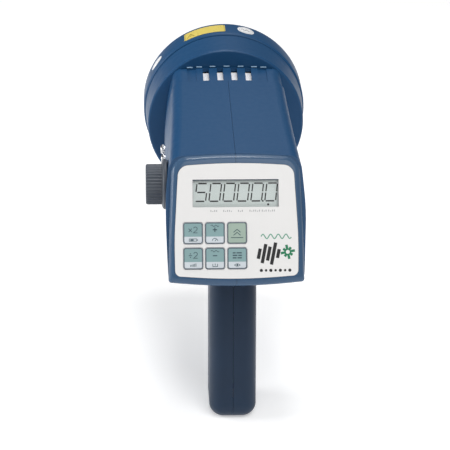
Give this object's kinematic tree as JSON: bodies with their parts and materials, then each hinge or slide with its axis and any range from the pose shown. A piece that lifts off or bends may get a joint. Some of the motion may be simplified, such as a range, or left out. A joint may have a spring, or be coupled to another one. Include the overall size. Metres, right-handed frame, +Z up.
{
  "type": "timing light",
  "caption": "Pistol-shaped hand-held stroboscope timing light: round lamp head, tapered body with a tilted display and keypad panel, side tuning knob, trigger handle.",
  "frame": {"origin": "mouth of the tripod bush in the bottom of the handle", "axes": "+Y along the beam, out of the lens; +X to the right of the person who reads the panel; +Z up"},
  "size_m": [0.1222, 0.2302, 0.2252],
  "materials": {
    "shell_blue": "fine moulded texture, satin",
    "ring_blue": "fine moulded texture, satin",
    "dark_plastic": "satin",
    "grey_plastic": "satin",
    "white_plastic": "satin",
    "overlay_white": "satin film",
    "key_teal": "satin film",
    "key_green": "satin film",
    "clear": "clear",
    "lcd": "grey-green liquid-crystal glass",
    "rubber": "matt",
    "bright_metal": "bright nickel plate",
    "steel": "zinc plated",
    "aluminium": "bright, vacuum coated",
    "brass": "plain",
    "board_green": "solder resist",
    "ceramic": "glazed",
    "capacitor_black": "shrink sleeve",
    "wire_red": "insulation",
    "cell_green": "sleeve",
    "label_yellow": "film",
    "label_white": "film"
  },
  "bodies": {
    "housing": {"battery_cells": "steel", "battery_leads": "wire_red", "battery_wrap": "cell_green", "board_parts": "dark_plastic", "board_screws": "steel", "case_screws": "steel", "charge_socket": "dark_plastic", "dome_contacts": "steel", "encoder_body": "bright_metal", "encoder_nut": "bright_metal", "flash_capacitor": "capacitor_black", "flash_tube": "clear", "front_ring": "ring_blue", "head_screws": "steel", "head_shell": "shell_blue", "jack_bodies": "dark_plastic", "jack_nuts": "bright_metal", "label_oval_left": "label_white", "label_oval_right": "label_white", "label_yellow": "label_yellow", "lamp_base": "ceramic", "lamp_leads": "wire_red", "lamp_pins": "brass", "lamp_socket": "dark_plastic", "lcd_frame": "dark_plastic", "lcd_glass": "lcd", "lcd_window": "clear", "left_shell": "shell_blue", "lens": "clear", "lens_seal": "rubber", "lock_spring": "steel", "main_board": "board_green", "overlay": "overlay_white", "panel_board": "board_green", "panel_plate": "grey_plastic", "panel_screws": "steel", "reflector": "aluminium", "ribbon_cable": "grey_plastic", "right_shell": "shell_blue", "socket_bracket": "aluminium", "trigger_spring": "steel", "trigger_switch": "dark_plastic", "trigger_transformer": "dark_plastic", "trigger_wire": "bright_metal", "tripod_bush": "brass", "vent_baffle": "white_plastic"},
    "knob_turning": {"knob": "grey_plastic", "encoder_shaft": "steel", "knob_screw": "steel"},
    "trigger_moving": {"trigger": "dark_plastic", "switch_plunger": "dark_plastic"},
    "lock_moving": {"lock_button": "dark_plastic"},
    "key_double_moving": {"key_double": "key_teal"},
    "key_plus_moving": {"key_plus": "key_teal"},
    "key_function_moving": {"key_function": "key_green"},
    "key_halve_moving": {"key_halve": "key_teal"},
    "key_minus_moving": {"key_minus": "key_teal"},
    "key_preset_moving": {"key_preset": "key_teal"}
  },
  "joints": [
    {"name": "knob_turn", "type": "hinge", "parent": "housing", "child": "knob_turning", "pos_m": [-0.0557, 0.025, 0.1657], "axis": [-1, 0, 0], "continuous": true},
    {"name": "trigger_pull", "type": "slide", "parent": "housing", "child": "trigger_moving", "axis": [0, -0.9744, 0.225], "range_m": [0, 0.005], "stiffness_N_per_m": 1000, "springref_m": -0.002, "deforming": ["trigger_spring"]},
    {"name": "lock_press", "type": "slide", "parent": "housing", "child": "lock_moving", "axis": [1, 0, 0], "range_m": [0, 0.003], "stiffness_N_per_m": 400, "springref_m": -0.002, "deforming": ["lock_spring"]},
    {"name": "key_double_press", "type": "slide", "parent": "housing", "child": "key_double_moving", "axis": [0, 0.8983, -0.4393], "range_m": [0, 0.0005], "stiffness_N_per_m": 2000, "springref_m": -0.0005},
    {"name": "key_plus_press", "type": "slide", "parent": "housing", "child": "key_plus_moving", "axis": [0, 0.8983, -0.4393], "range_m": [0, 0.0005], "stiffness_N_per_m": 2000, "springref_m": -0.0005},
    {"name": "key_function_press", "type": "slide", "parent": "housing", "child": "key_function_moving", "axis": [0, 0.8983, -0.4393], "range_m": [0, 0.0005], "stiffness_N_per_m": 2000, "springref_m": -0.0005},
    {"name": "key_halve_press", "type": "slide", "parent": "housing", "child": "key_halve_moving", "axis": [0, 0.8983, -0.4393], "range_m": [0, 0.0005], "stiffness_N_per_m": 2000, "springref_m": -0.0005},
    {"name": "key_minus_press", "type": "slide", "parent": "housing", "child": "key_minus_moving", "axis": [0, 0.8983, -0.4393], "range_m": [0, 0.0005], "stiffness_N_per_m": 2000, "springref_m": -0.0005},
    {"name": "key_preset_press", "type": "slide", "parent": "housing", "child": "key_preset_moving", "axis": [0, 0.8983, -0.4393], "range_m": [0, 0.0005], "stiffness_N_per_m": 2000, "springref_m": -0.0005}
  ]
}
